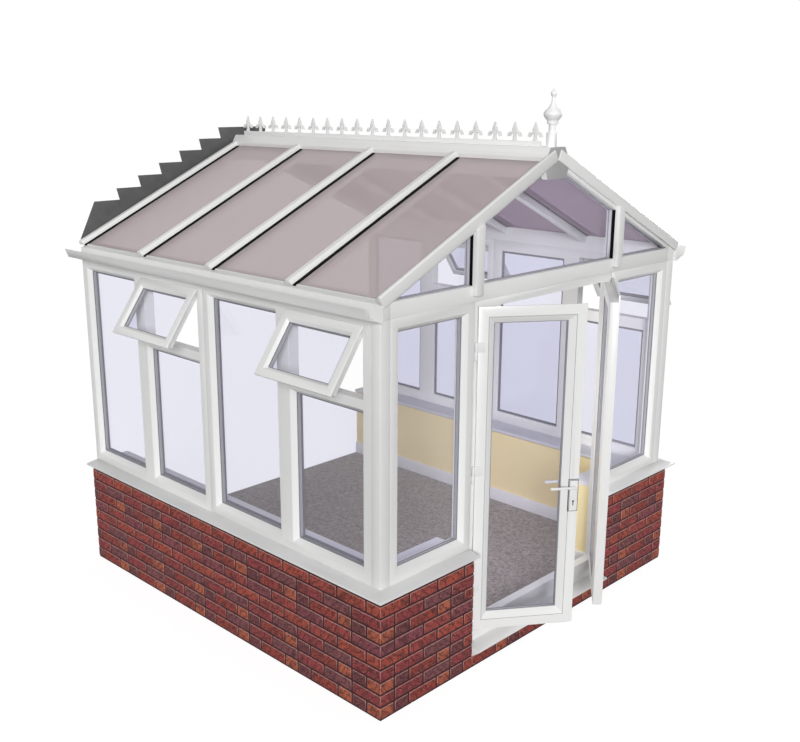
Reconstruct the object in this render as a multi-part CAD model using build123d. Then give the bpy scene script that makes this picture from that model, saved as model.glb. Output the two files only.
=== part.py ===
"""A gable-fronted conservatory on dwarf brick walls.

The back is open, where such a building meets a house.  Lengths are in millimetres.
+X is to the right seen from the front, +Y runs back towards the house and +Z is up.
The origin is on the ground at the middle of the brickwork's plan.
The right-hand side is modelled and the left-hand side is its mirror image.
"""
import os
from math import cos, radians, sin, tan

from build123d import *

# Brickwork and floor
width = 2825.0
length = 2850.0
course = 75.0
wall_courses = 9
wall_thick = 250.0
slab_thick = 140.0
carpet_thick = 10.0

# Linings inside the dwarf walls
plaster_thick = 13.0
skirting_tall = 95.0
skirting_thick = 15.0
board_thick = 25.0
board_nose = 22.0

# Cills
cill_tall = 56.0
cill_nose = 45.0
cill_fall = 13.0
cill_tip = 9.0

# Window frames
frame_set = 40.0
frame_depth = 70.0
frame_tall = 1414.0
face_wide = 52.0
mullion_wide = 102.0
transom_wide = 52.0
transom_from_top = 442.0
bead = 24.0
glass_set = 30.0
glass_thick = 24.0
glass_bite = 8.0
coupling_from_front = 1500.0
front_opener_wide = 670.0
rear_opener_wide = 668.0

# Fanlights, shown standing open
sash_face = 44.0
sash_flange = 14.0
sash_body = 34.0
sash_lap = 9.0
sash_gap = 4.0
sash_bead = 16.0
sash_glass_set = 18.0
sash_seat = 0.3
fanlight_angle = 35.0

# Door frame and leaves
door_wide_share = 0.471
door_set = 10.0
door_jamb = 41.0
door_head = 50.0
door_threshold = 116.0
leaf_face = 58.0
leaf_bead = 36.0
leaf_flange = 10.0
leaf_body = 50.0
leaf_lap = 20.0
leaf_gap = 5.0
leaf_overhang = 14.0
leaf_glass_set = 32.0
meeting_post_wide = 86.0
meeting_gap = 10.0
door_open_angle = 36.0

# Door hinges
knuckle_radius = 8.0
knuckle_gap = 1.5
fixed_knuckle_tall = 45.0
leaf_knuckle_tall = 55.0
pin_radius = 4.0
pin_clear = 0.3
hinge_plate_thick = 4.0
hinge_plate_wide = 40.0
hinge_height_shares = (0.12, 0.5, 0.88)

# Door handle
plate_wide = 54.0
plate_tall = 188.0
plate_thick = 9.0
handle_from_foot = 824.0
plate_drop = 53.0
spindle_radius = 5.0
spindle_clear = 0.5
neck_radius = 8.0
neck_long = 18.0
lever_long = 135.0
lever_radius = 8.0
keyhole_drop = 87.0
keyhole_radius = 6.0
keyhole_tail = 26.0
keyhole_deep = 4.0

# Roof
pitch = 25.0
beam_tall = 85.0
eaves_glass_rise = 101.0
roof_glass_thick = 24.0
bar_count = 5
cap_wide = 64.0
cap_tall = 30.0
cap_side = 8.0
cap_top_wide = 34.0
web_wide = 12.0
bar_body_wide = 56.0
bar_body_tall = 45.0
bar_overhang = 12.0
rafter_set = 20.0
rafter_top_back = 38.0
rafter_cap_back = 60.0
rafter_face_drop = 34.0
rafter_web = 44.0
rafter_body_drop = 54.0
rafter_bevel = 6.0
rafter_end_gap = 4.0

# Ridge
ridge_top_wide = 134.0
ridge_lift = 32.0
ridge_lip_out = 98.0
ridge_lip_drop = 20.0
ridge_reach = 94.0
ridge_glass_end = 40.0
ridge_body_wide = 210.0
ridge_body_deep = 141.0
ridge_foot_wide = 170.0
ridge_foot_tall = 51.0
ridge_front_set = 31.0
ridge_end_thick = 3.0

# Gable bars
gable_cap_wide = 60.0
gable_cap_thick = 32.0
gable_cap_lap = 50.0
gable_web_wide = 30.0

# Gutters
gutter_reach = 122.0
gutter_foot_reach = 99.0
gutter_back_tall = 88.0
gutter_foot_rise = 32.0
gutter_drop = 9.0
gutter_wall = 4.0
gutter_front_set = 20.0

# Cresting along the ridge
crest_count = 19
crest_first = 187.0
crest_last = 71.0
crest_thick = 12.0
crest_strip_wide = 24.0
crest_strip_tall = 27.0
crest_strip_end = 35.0
spike_tall = 104.0
spike_join = 45.0
spike_belly = 58.0
blade_wide = 36.0
stem_wide = 18.0
stem_foot_wide = 34.0
arm_span = 100.0
arm_drop = 22.0
arm_thick = 16.0
arm_crown = 12.0
spike_neck_share = 0.7
foot_curve_share = 0.8
arm_bow_share = 0.84
arm_rise_share = 0.5
arm_fall_share = 0.5
arm_curl_share = 0.25

# Finial
finial_from_front = 73.0
finial_base_radius = 31.5
finial_base_tall = 77.0
finial_neck_radius = 20.5
finial_neck_tall = 46.0
finial_collar_radius = 31.0
finial_collar_tall = 18.0
finial_bulb_radius = 52.0
finial_bulb_up = 52.0
finial_waist_radius = 9.0
finial_waist_up = 146.0
finial_ball_radius = 16.5
finial_ball_up = 165.0
finial_tip_up = 197.0
swell_facets = 14
ball_facets = 6

# Stepped lead flashing
lead_thick = 4.0
lead_rise = 88.0
lead_step = 76.8
lead_fall_share = 0.957
lead_crown_half = 220.0
lead_foot_in = 119.0
lead_undercut = 20.0
lead_foot_rise = 30.0

# Shared
overrun = 20.0
quarter_turn = 90.0

# Places worked out from the sizes
right = width / 2
front = -length / 2
back = length / 2
wall_top = wall_courses * course
frame_base = wall_top + cill_tall
frame_top = frame_base + frame_tall
frame_back_set = frame_set + frame_depth
side_face = right - frame_set
front_face = front + frame_set
door_half = width * door_wide_share / 2
lining_set = wall_thick + plaster_thick
skirting_set = lining_set + skirting_thick
board_top = frame_base
board_under = board_top - board_thick
slope = radians(pitch)
eaves_glass_top = frame_top + eaves_glass_rise
apex = eaves_glass_top + side_face * tan(slope)
ridge_top = apex + ridge_lift
ridge_body_bottom = apex - ridge_body_deep
beam_top = frame_top + beam_tall
rear_of_roof = back - lead_thick
lead_span = side_face - lead_foot_in - lead_crown_half
lead_steps = round(lead_span * tan(slope) * lead_fall_share / lead_step)
cill_back = frame_back_set

# Places on the right-hand door leaf, drawn shut
door_clear_half = door_half - door_jamb
door_face = front_face + door_set
door_base = course + cill_tall
door_low = door_base + door_threshold
door_high = frame_top - door_head
leaf_outer = door_face - leaf_gap - leaf_flange
leaf_inner = leaf_outer + leaf_flange + leaf_body
leaf_hinge_edge = door_clear_half + leaf_lap
leaf_free_edge = meeting_post_wide / 2
pivot_x = leaf_hinge_edge + knuckle_gap + knuckle_radius
pivot_y = leaf_outer
handle_x = leaf_free_edge + leaf_face / 2 + knuckle_gap
handle_height = door_low + handle_from_foot
hinge_tall = fixed_knuckle_tall + leaf_knuckle_tall


def block(x0, x1, y0, y1, z0, z1):
    """A block between two corners."""
    centre = Pos((x0 + x1) / 2, (y0 + y1) / 2, (z0 + z1) / 2)
    return centre * Box(x1 - x0, y1 - y0, z1 - z0)


def prism_along_y(outline, y0, y1):
    """An outline of (x, z) points, extruded from y0 to y1."""
    face = make_face(Polyline(*[(x, y0, z) for x, z in outline], close=True))
    return extrude(face, amount=y1 - y0, dir=(0, 1, 0))


def prism_along_x(outline, x0, x1):
    """An outline of (y, z) points, extruded from x0 to x1."""
    face = make_face(Polyline(*[(x0, y, z) for y, z in outline], close=True))
    return extrude(face, amount=x1 - x0, dir=(1, 0, 0))


def prism_up(outline, z0, z1):
    """An outline of (x, y) points, extruded from z0 to z1."""
    face = make_face(Polyline(*[(x, y, z0) for x, y in outline], close=True))
    return extrude(face, amount=z1 - z0, dir=(0, 0, 1))


def mirrored(part):
    """The left-hand twin of a right-hand piece."""
    return mirror(part, about=Plane.YZ)


def upright_rectangle(x0, x1, z0, z1, y):
    """A rectangle in the plane of a wall that faces the front."""
    centre = ((x0 + x1) / 2, y, (z0 + z1) / 2)
    plane = Plane(origin=centre, x_dir=(1, 0, 0), z_dir=(0, -1, 0))
    return plane * Rectangle(x1 - x0, z1 - z0)


def roof_line(run, lift):
    """Height of the right-hand slope at a plan distance from the ridge, lifted square off the glass."""
    return apex - run * tan(slope) + lift / cos(slope)


def roof_point(run, lift):
    """A point square off the top of the glass of the right-hand slope."""
    return run + lift * sin(slope), apex - run * tan(slope) + lift * cos(slope)


def write(name, *pieces):
    """Write one sub-part, all its solids together."""
    solids = [solid for piece in pieces for solid in piece.solids()]
    export_step(Compound(solids), f"parts/{name}.step")


# Brickwork and floor


def dwarf_walls():
    """The long side wall and the short front wall that butts against it."""
    side = block(right - wall_thick, right, front, back, 0, wall_top)
    ahead = block(door_half, right - wall_thick, front, front + wall_thick, 0, wall_top)
    return side, ahead


def threshold_course():
    """One course of bricks under the door cill."""
    return block(-door_half, door_half, front, front + wall_thick, 0, course)


def floor_slab():
    """The floor between the walls, with a tongue that runs into the doorway."""
    inner = right - wall_thick
    bay = block(-inner, inner, front + wall_thick, back, 0, slab_thick)
    tongue = block(-door_half, door_half, front + cill_back, front + wall_thick, course, slab_thick)
    return bay + tongue


def carpet():
    """Carpet between the skirtings, running up to the door cill."""
    inner = right - skirting_set
    bay = block(-inner, inner, front + skirting_set, back, slab_thick, slab_thick + carpet_thick)
    way = reveal(skirting_set)
    tongue = block(-way, way, front + cill_back, front + skirting_set, slab_thick, slab_thick + carpet_thick)
    return bay + tongue


def reveal(depth):
    """Where a lining of this depth into the building stands in the doorway, where it turns to the door frame."""
    return door_half - (depth - wall_thick)


def lining(near, far, z0, z1):
    """A lining on the inside of the right-hand and front walls and on the side of the doorway."""
    outline = [
        (right - near, back),
        (right - near, front + near),
        (reveal(near), front + near),
        (reveal(near), front + cill_back),
        (reveal(far), front + cill_back),
        (reveal(far), front + far),
        (right - far, front + far),
        (right - far, back),
    ]
    return prism_up(outline, z0, z1)


def mitred(section, near, far):
    """A section of (outward distance, height) points run round the front corner with a mitre."""
    low = min(height for _, height in section) - overrun
    high = max(height for _, height in section) + overrun
    side = prism_along_y([(right + out, z) for out, z in section], front - overrun - near, back)
    side_plan = [(right + near, front - near), (right + near, back), (right + far, back), (right + far, front - far)]
    ahead = prism_along_x([(front - out, z) for out, z in section], door_half, right + near + overrun)
    ahead_plan = [(door_half, front - near), (right + near, front - near), (right + far, front - far),
                  (door_half, front - far)]
    return side & prism_up(side_plan, low, high), ahead & prism_up(ahead_plan, low, high)


def window_board():
    """The inside board on top of the wall, nosed over the plaster."""
    nose = lining_set + board_nose
    section = [
        (-cill_back, wall_top),
        (-cill_back, board_top),
        (-nose, board_top),
        (-nose, board_under),
        (-wall_thick, board_under),
        (-wall_thick, wall_top),
    ]
    side, ahead = mitred(section, -cill_back, -nose)
    return side + ahead


def cill_section(base):
    """A cill with a level seat under the frame and a wedge nose that sheds water."""
    top = base + cill_tall
    return [
        (-cill_back, base),
        (0, base),
        (cill_nose, top - cill_fall - cill_tip),
        (cill_nose, top - cill_fall),
        (-frame_set, top),
        (-cill_back, top),
    ]


def wall_cills():
    """The side and front cills, mitred together at the corner."""
    return mitred(cill_section(wall_top), cill_nose, -cill_back)


def door_cill():
    """The same cill under the door, on the single course."""
    section = [(front - out, z) for out, z in cill_section(course)]
    return prism_along_x(section, -door_half, door_half)


# Windows


def light_cut(x0, x1, z0, z1, inset, set_back, glass, face_y, depth):
    """Cutter for one light: its bevelled bead, the sight opening and the groove for the glass."""
    outer = upright_rectangle(x0, x1, z0, z1, face_y)
    inner = upright_rectangle(x0 + inset, x1 - inset, z0 + inset, z1 - inset, face_y + set_back)
    sight = block(x0 + inset, x1 - inset, face_y + set_back, face_y + depth + overrun, z0 + inset, z1 - inset)
    return loft([outer, inner]) + sight + glass


def pane(x0, x1, z0, z1, inset, set_back, face_y):
    """The sealed glass unit of one light, held in the bead's groove."""
    rim = inset - glass_bite
    return block(x0 + rim, x1 - rim, face_y + set_back, face_y + set_back + glass_thick, z0 + rim, z1 - rim)


def glazed_frame(outline, lights, vents):
    """A frame that faces the front, with glazed lights and open vents, and the glass of the lights."""
    x0, x1, z0, z1 = outline
    frame = block(x0, x1, 0, frame_depth, z0, z1)
    panes = []
    for light in lights:
        glass = pane(*light, bead, glass_set, 0)
        frame -= light_cut(*light, bead, glass_set, glass, 0, frame_depth)
        panes.append(glass)
    for vx0, vx1, vz0, vz1 in vents:
        frame -= block(vx0, vx1, -overrun, frame_depth + overrun, vz0, vz1)
    return frame, panes


def fanlight(vent):
    """A top-hung sash with its glass, swung out about its upper edge."""
    x0, x1, z0, z1 = vent
    outer_y = -sash_seat - sash_flange
    flange = block(x0 - sash_lap, x1 + sash_lap, outer_y, -sash_seat, z0 - sash_lap, z1 + sash_lap)
    body = block(x0 + sash_gap, x1 - sash_gap, -sash_seat, sash_body, z0 + sash_gap, z1 - sash_gap)
    rim = sash_face - sash_lap
    light = (x0 + rim, x1 - rim, z0 + rim, z1 - rim)
    glass = pane(*light, sash_bead, sash_glass_set, outer_y)
    sash = flange + body - light_cut(*light, sash_bead, sash_glass_set, glass, outer_y, sash_flange + sash_body)
    hinge = Pos(0, -sash_seat, z1 + sash_lap)
    swing = hinge * Rot(-fanlight_angle, 0, 0) * hinge.inverse()
    return swing * sash, swing * glass


def side_window(wide, opener_wide):
    """A fixed light beside an opener with a transom and a fanlight; its front end is at x = 0."""
    transom = frame_top - transom_from_top
    low = frame_base + face_wide
    high = frame_top - face_wide
    opener = (face_wide, opener_wide - mullion_wide / 2)
    fixed = (opener_wide + mullion_wide / 2, wide - face_wide)
    vent = (*opener, transom + transom_wide / 2, high)
    lights = [(*opener, low, transom - transom_wide / 2), (*fixed, low, high)]
    frame, panes = glazed_frame((0, wide, frame_base, frame_top), lights, [vent])
    sash, sash_glass = fanlight(vent)
    return frame, panes, sash, sash_glass


def side_windows():
    """Both windows of the right-hand side, from the corner post to the back."""
    windows = []
    runs = [
        (frame_back_set, coupling_from_front, front_opener_wide),
        (coupling_from_front, length, rear_opener_wide),
    ]
    for start, end, opener_wide in runs:
        place = Pos(side_face, front + start, 0) * Rot(0, 0, quarter_turn)
        frame, panes, sash, sash_glass = side_window(end - start, opener_wide)
        windows.append((place * frame, [place * glass for glass in panes], place * sash, place * sash_glass))
    return windows


def front_window():
    """The fixed window between the door frame and the right-hand corner post."""
    outline = (door_half, right - frame_back_set, frame_base, frame_top)
    light = (door_half + face_wide, right - frame_back_set - face_wide, frame_base + face_wide, frame_top - face_wide)
    frame, panes = glazed_frame(outline, [light], [])
    place = Pos(0, front_face, 0)
    return place * frame, place * panes[0]


def corner_post():
    """The square post where the side and front frames meet."""
    return block(right - frame_back_set, side_face, front_face, front + frame_back_set, frame_base, frame_top)


# Doors, drawn shut and then swung open


def swung(part):
    """A piece of the right-hand leaf, swung from shut to the angle at which the doors stand."""
    pivot = Pos(pivot_x, pivot_y, 0)
    return pivot * Rot(0, 0, door_open_angle) * pivot.inverse() * part


def door_frame():
    """The frame round both leaves, with a low threshold."""
    whole = block(-door_half, door_half, door_face, front + frame_back_set, door_base, frame_top)
    way = block(-door_clear_half, door_clear_half, door_face - overrun, front + frame_back_set + overrun,
                door_low, door_high)
    return whole - way


def door_leaf():
    """The right-hand leaf: a flange that laps the frame, a body inside it and one tall light."""
    low = door_low - leaf_lap
    high = door_high + leaf_lap
    flange = block(leaf_free_edge, leaf_hinge_edge, leaf_outer, leaf_outer + leaf_flange, low, high)
    body = block(leaf_free_edge + leaf_overhang, door_clear_half - leaf_gap, leaf_outer + leaf_flange, leaf_inner,
                 door_low + leaf_gap, door_high - leaf_gap)
    light = (leaf_free_edge + leaf_face, leaf_hinge_edge - leaf_face, low + leaf_face, high - leaf_face)
    glass = pane(*light, leaf_bead, leaf_glass_set, leaf_outer)
    cut = light_cut(*light, leaf_bead, leaf_glass_set, glass, leaf_outer, leaf_flange + leaf_body)
    return flange + body - cut, glass


def meeting_post():
    """The false post on the right-hand leaf's free edge, which the left-hand leaf shuts beside."""
    return block(meeting_gap - leaf_free_edge, leaf_free_edge + leaf_overhang, leaf_outer + leaf_flange, leaf_inner,
                 door_low + leaf_gap, door_high - leaf_gap)


def hinge_heights():
    """The foot of each hinge."""
    return [door_low + share * (door_high - door_low) - hinge_tall / 2 for share in hinge_height_shares]


def upright_rod(radius, x, y, z0, z1):
    """A round rod along Z."""
    return Pos(x, y, (z0 + z1) / 2) * Cylinder(radius, z1 - z0)


def fixed_hinges():
    """The halves of the hinges on the jamb, each with the pin that carries the leaf."""
    halves = []
    for foot in hinge_heights():
        top = foot + fixed_knuckle_tall
        knuckle = upright_rod(knuckle_radius, pivot_x, pivot_y, foot, top)
        arm = block(pivot_x - knuckle_radius, pivot_x + knuckle_radius, pivot_y, door_face, foot, top)
        pin = upright_rod(pin_radius, pivot_x, pivot_y, foot, foot + hinge_tall)
        halves.append(knuckle + arm + pin)
    return halves


def leaf_hinges():
    """The halves of the hinges on the leaf, bored for the pins."""
    halves = []
    for foot in hinge_heights():
        low = foot + fixed_knuckle_tall + pin_clear
        high = foot + hinge_tall
        knuckle = upright_rod(knuckle_radius, pivot_x, pivot_y, low, high)
        plate = block(leaf_hinge_edge - hinge_plate_wide, pivot_x, pivot_y - hinge_plate_thick, pivot_y, low, high)
        bore = upright_rod(pin_radius + pin_clear, pivot_x, pivot_y, low - overrun, high + overrun)
        halves.append(swung(knuckle + plate - bore))
    return halves


def rod_along_y(radius, x, z, y0, y1):
    """A round rod along Y."""
    return Pos(x, (y0 + y1) / 2, z) * Rot(quarter_turn, 0, 0) * Cylinder(radius, y1 - y0)


def spindle_bore():
    """The hole for the handle's spindle through the leaf and both plates."""
    return rod_along_y(spindle_radius + spindle_clear, handle_x, handle_height,
                       leaf_outer - plate_thick - overrun, leaf_inner + plate_thick + overrun)


def lock_plates():
    """The plates behind the levers outside and inside, each with a keyhole sunk into its face."""
    low = handle_height - plate_drop - plate_tall / 2
    high = low + plate_tall
    keyhole_height = handle_height - keyhole_drop
    plates = []
    for seat, face in ((leaf_outer, leaf_outer - plate_thick), (leaf_inner, leaf_inner + plate_thick)):
        plate = block(handle_x - plate_wide / 2, handle_x + plate_wide / 2, min(seat, face), max(seat, face), low, high)
        keyhole_half = keyhole_radius / 2
        eye = rod_along_y(keyhole_radius, handle_x, keyhole_height, face - keyhole_deep, face + keyhole_deep)
        tail = block(handle_x - keyhole_half, handle_x + keyhole_half, face - keyhole_deep, face + keyhole_deep,
                     keyhole_height - keyhole_tail, keyhole_height)
        plates.append(plate - eye - tail - spindle_bore())
    return plates


def lever_handle():
    """Both levers on one spindle; each runs out from its plate and turns towards the hinge side."""
    out = leaf_outer - plate_thick - spindle_clear
    within = leaf_inner + plate_thick + spindle_clear
    handle = rod_along_y(spindle_radius, handle_x, handle_height, out, within)
    for start, way in ((out, -1), (within, 1)):
        elbow = start + way * neck_long
        handle += rod_along_y(neck_radius, handle_x, handle_height, min(start, elbow), max(start, elbow))
        handle += Pos(handle_x, elbow, handle_height) * Sphere(lever_radius)
        arm = Rot(0, quarter_turn, 0) * Cylinder(lever_radius, lever_long)
        handle += Pos(handle_x + lever_long / 2, elbow, handle_height) * arm
        handle += Pos(handle_x + lever_long, elbow, handle_height) * Sphere(lever_radius)
    return handle


# Eaves, roof and gable


def eaves_beam():
    """The beam on the side frames, its top cut to the slope of the glass."""
    outline = [
        (right - frame_back_set, frame_top),
        (side_face, frame_top),
        (side_face, roof_line(side_face, -roof_glass_thick)),
        (right - frame_back_set, roof_line(right - frame_back_set, -roof_glass_thick)),
    ]
    return prism_along_y(outline, front_face, back)


def front_beam():
    """The beam over the front frames, between the eaves beams."""
    inner = right - frame_back_set
    return block(-inner, inner, front_face, front + frame_back_set, frame_top, beam_top)


def gutter():
    """An open gutter with a sloping front, fixed to the face of the eaves beam."""
    foot = frame_top - gutter_drop
    lip = foot + gutter_back_tall
    heel = foot + gutter_foot_rise
    outer = [(0, lip), (0, foot), (gutter_foot_reach, heel), (gutter_reach, lip)]
    inner = [
        (gutter_reach - gutter_wall, lip),
        (gutter_foot_reach - gutter_wall, heel + gutter_wall),
        (gutter_wall, foot + gutter_wall),
        (gutter_wall, lip),
    ]
    outline = [(side_face + out, z) for out, z in outer + inner]
    return prism_along_y(outline, front + gutter_front_set, rear_of_roof)


def slope_prism(outline, start, end):
    """An outline of (y, lift) points, extruded up the right-hand slope between distances from the glass edge."""
    edge, height = side_face - start * cos(slope), eaves_glass_top + start * sin(slope)
    foot = [(edge + lift * sin(slope), y, height + lift * cos(slope)) for y, lift in outline]
    return extrude(make_face(Polyline(*foot, close=True)), amount=end - start, dir=(-cos(slope), 0, sin(slope)))


def up_slope(run):
    """Distance up the slope, from the eaves, of a point at a plan distance from the ridge."""
    return (side_face - run) / cos(slope)


def bar_places():
    """The centre line of each bar behind the gable rafter."""
    last = rear_of_roof - cap_wide / 2
    step = (last - front) / (bar_count - 1)
    return [front + step * place for place in range(1, bar_count)]


def roof_bar(y):
    """One glazing bar: a bevelled cap, a web between the panes and a body below them."""
    cap = [
        (y - cap_wide / 2, 0),
        (y - cap_wide / 2, cap_side),
        (y - cap_top_wide / 2, cap_tall),
        (y + cap_top_wide / 2, cap_tall),
        (y + cap_wide / 2, cap_side),
        (y + cap_wide / 2, 0),
    ]
    half_web = web_wide / 2
    web = [(y - half_web, 0), (y + half_web, 0), (y + half_web, -roof_glass_thick), (y - half_web, -roof_glass_thick)]
    half_body = bar_body_wide / 2
    low = -roof_glass_thick - bar_body_tall
    body = [(y - half_body, -roof_glass_thick), (y + half_body, -roof_glass_thick), (y + half_body, low),
            (y - half_body, low)]
    inner = right - frame_back_set
    span = block(ridge_body_wide / 2, inner, y - half_body, y + half_body, frame_top, apex)
    top = slope_prism(cap, -bar_overhang, up_slope(ridge_top_wide / 2)) - ridge_core(y - cap_wide, y + cap_wide)
    bar = top + slope_prism(web, 0, up_slope(ridge_glass_end))
    return bar + (slope_prism(body, 0, up_slope(0)) & span)


def roof_panes():
    """The tinted panes of the right-hand slope, between the webs of the bars."""
    half_web = web_wide / 2
    edges = [front + rafter_web - half_web] + bar_places()
    panes = []
    for near, far in zip(edges, edges[1:]):
        outline = [(near + half_web, 0), (far - half_web, 0), (far - half_web, -roof_glass_thick),
                   (near + half_web, -roof_glass_thick)]
        panes.append(slope_prism(outline, 0, up_slope(ridge_glass_end)))
    return panes


def gable_rafter():
    """The deep rafter over the gable, its upper end cut square just short of its twin."""
    section = [
        (rafter_set, -rafter_face_drop),
        (rafter_set, cap_tall - rafter_bevel),
        (rafter_set + rafter_bevel, cap_tall),
        (rafter_top_back, cap_tall),
        (rafter_cap_back, cap_side),
        (rafter_cap_back, 0),
        (rafter_web, 0),
        (rafter_web, -roof_glass_thick),
        (frame_back_set, -roof_glass_thick),
        (frame_back_set, -rafter_body_drop),
        (frame_set, -rafter_body_drop),
        (frame_set, -rafter_face_drop),
    ]
    top_end = (side_face - rafter_face_drop * sin(slope) - rafter_end_gap) / cos(slope)
    rafter = slope_prism([(front + out, lift) for out, lift in section], -bar_overhang, top_end)
    past_middle = block(-ridge_reach, rafter_end_gap, front, front + frame_back_set, frame_top, apex)
    return rafter - eaves_beam() - front_beam() - gutter() - past_middle


def gable_bar():
    """A bar of the gable: a cap that laps down over the beam, and a web between the panes."""
    cap_half = gable_cap_wide / 2
    web_half = gable_web_wide / 2
    outer, inner = door_half + cap_half, door_half - cap_half
    cap = [
        (inner, beam_top - gable_cap_lap),
        (outer, beam_top - gable_cap_lap),
        (outer, roof_line(outer, -rafter_face_drop)),
        (inner, roof_line(inner, -rafter_face_drop)),
    ]
    outer, inner = door_half + web_half, door_half - web_half
    web = [
        (inner, beam_top),
        (outer, beam_top),
        (outer, roof_line(outer, -rafter_body_drop)),
        (inner, roof_line(inner, -rafter_body_drop)),
    ]
    bar = prism_along_y(cap, front_face - gable_cap_thick, front_face)
    return bar + prism_along_y(web, front_face, front + frame_back_set)


def gable_panes():
    """The right-hand triangle and the middle pane of the gable."""
    near = front_face + glass_set
    far = near + glass_thick
    web_half = gable_web_wide / 2
    edge = door_half + web_half
    tip = (apex - rafter_body_drop / cos(slope) - beam_top) / tan(slope)
    triangle = [(edge, beam_top), (tip, beam_top), (edge, roof_line(edge, -rafter_body_drop))]
    edge = door_half - web_half
    crown = [
        (-edge, beam_top),
        (edge, beam_top),
        (edge, roof_line(edge, -rafter_body_drop)),
        (0, roof_line(0, -rafter_body_drop)),
        (-edge, roof_line(edge, -rafter_body_drop)),
    ]
    return prism_along_y(triangle, near, far), prism_along_y(crown, near, far) - ridge_core(front, back)


def both_ways(half):
    """A right-hand outline from top to bottom, closed by its mirror image."""
    return half + [(-x, z) for x, z in reversed(half)]


def ridge_core(y0, y1):
    """The ridge's section run along the roof: a cap over the glass, a neck and a five-sided body."""
    half = [
        (ridge_top_wide / 2, ridge_top),
        (ridge_lip_out, apex - ridge_lip_drop),
        roof_point(ridge_reach, 0),
        roof_point(ridge_glass_end, 0),
        roof_point(ridge_glass_end, -roof_glass_thick),
        (ridge_body_wide / 2, roof_line(ridge_body_wide / 2, -roof_glass_thick)),
        (ridge_body_wide / 2, ridge_body_bottom + ridge_foot_tall),
        (ridge_foot_wide / 2, ridge_body_bottom),
    ]
    return prism_along_y(both_ways(half), y0, y1)


def ridge(rafters):
    """The ridge over the whole roof, fitted round the ends of the gable rafters."""
    whole = ridge_core(front + ridge_front_set, rear_of_roof)
    return whole - rafters[0] - rafters[1]


def ridge_end(rafters):
    """The thin plates that close the front end of the ridge, above and below the rafters."""
    start = front + ridge_front_set - ridge_end_thick
    return ridge_core(start, start + ridge_end_thick) - rafters[0] - rafters[1]


def spike_outline():
    """One spike of the cresting, as (y, z) points about its own foot on the strip."""
    half_stem = stem_wide / 2
    half_foot = stem_foot_wide / 2
    half_blade = blade_wide / 2
    half_span = arm_span / 2
    tips = spike_join - arm_drop
    inner_tip = half_span - arm_thick
    stem_top = tips - arm_thick / 2
    armpit = spike_join - arm_thick / 2
    shoulder = spike_join + arm_crown / 2
    half = [
        (half_foot, 0),
        ((half_stem + half_foot) * foot_curve_share / 2, stem_top / 2),
        (half_stem, stem_top),
        (half_stem, armpit),
        ((half_stem + inner_tip) / 2, spike_join - arm_thick * arm_curl_share),
        (inner_tip, tips),
        (half_span, tips),
        (half_span * arm_bow_share, shoulder - arm_crown * arm_fall_share),
        (half_span * arm_rise_share, shoulder),
        (half_blade * spike_neck_share, shoulder),
        (half_blade, spike_belly),
    ]
    return half + [(0, spike_tall)] + [(-y, z) for y, z in reversed(half)]


def ridge_cresting():
    """A strip along the ridge with a row of pointed fleur spikes, made as one moulding."""
    first = front + crest_first
    last = back - crest_last
    pitch_along = (last - first) / (crest_count - 1)
    half_strip = crest_strip_wide / 2
    strip_top = ridge_top + crest_strip_tall
    cresting = block(-half_strip, half_strip, first - crest_strip_end, last + crest_strip_end, ridge_top, strip_top)
    spike = prism_along_x(spike_outline(), -crest_thick / 2, crest_thick / 2)
    for place in range(crest_count):
        cresting += Pos(0, first + place * pitch_along, strip_top) * spike
    return cresting


def finial():
    """A turned finial: base, neck, collar, bulb, waist and a small pointed ball."""
    neck = finial_base_tall + finial_neck_tall
    collar = neck + finial_collar_tall
    bulb = neck + finial_bulb_up
    waist = neck + finial_waist_up
    ball = neck + finial_ball_up
    tip = neck + finial_tip_up

    def point(radius, height):
        return (radius, 0, height)

    swell = Spline(point(finial_collar_radius, collar), point(finial_bulb_radius, bulb),
                   point(finial_waist_radius, waist), tangents=[(1, 0, 1), (0, 0, 1)])
    bead_top = point(finial_waist_radius / 2, (ball + tip) / 2)
    small_ball = ThreePointArc(point(finial_waist_radius, waist), point(finial_ball_radius, ball), bead_top)
    profile = [
        point(0, 0), point(finial_base_radius, 0), point(finial_base_radius, finial_base_tall),
        point(finial_neck_radius, finial_base_tall), point(finial_neck_radius, neck),
        point(finial_collar_radius, neck),
    ]
    profile += [swell @ (step / swell_facets) for step in range(swell_facets)]
    profile += [small_ball @ (step / ball_facets) for step in range(ball_facets + 1)]
    profile.append(point(0, tip))
    turned = revolve(make_face(Polyline(*profile, close=True)), axis=Axis.Z)
    return Pos(0, front + finial_from_front, ridge_top) * turned


def step_flashing():
    """Lead dressed up the house wall in brick-course steps, over both slopes and the ridge."""
    run = lead_span / lead_steps
    half = []
    for step in range(lead_steps + 1):
        level = apex + lead_rise - step * lead_step
        corner = lead_crown_half + step * run
        half.append((corner, level))
        if step < lead_steps:
            half.append((corner - lead_undercut, level - lead_step))
    half.append((side_face, eaves_glass_top + lead_foot_rise))
    half.append((side_face, eaves_glass_top))
    outline = both_ways(half)
    middle = len(half)
    outline.insert(middle, (0, apex))
    return prism_along_y(outline, rear_of_roof, back)


# Build and write every sub-part

os.makedirs("parts", exist_ok=True)

side_wall, front_wall = dwarf_walls()
write("right_dwarf_wall", side_wall)
write("left_dwarf_wall", mirrored(side_wall))
write("front_right_dwarf_wall", front_wall)
write("front_left_dwarf_wall", mirrored(front_wall))
write("door_threshold_course", threshold_course())
write("floor_slab", floor_slab())
write("carpet", carpet())

plaster = lining(wall_thick, lining_set, slab_thick, board_under)
skirting = lining(lining_set, skirting_set, slab_thick, slab_thick + carpet_thick + skirting_tall)
board = window_board()
write("wall_plaster", plaster, mirrored(plaster))
write("skirting_boards", skirting, mirrored(skirting))
write("window_boards", board, mirrored(board))

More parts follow.
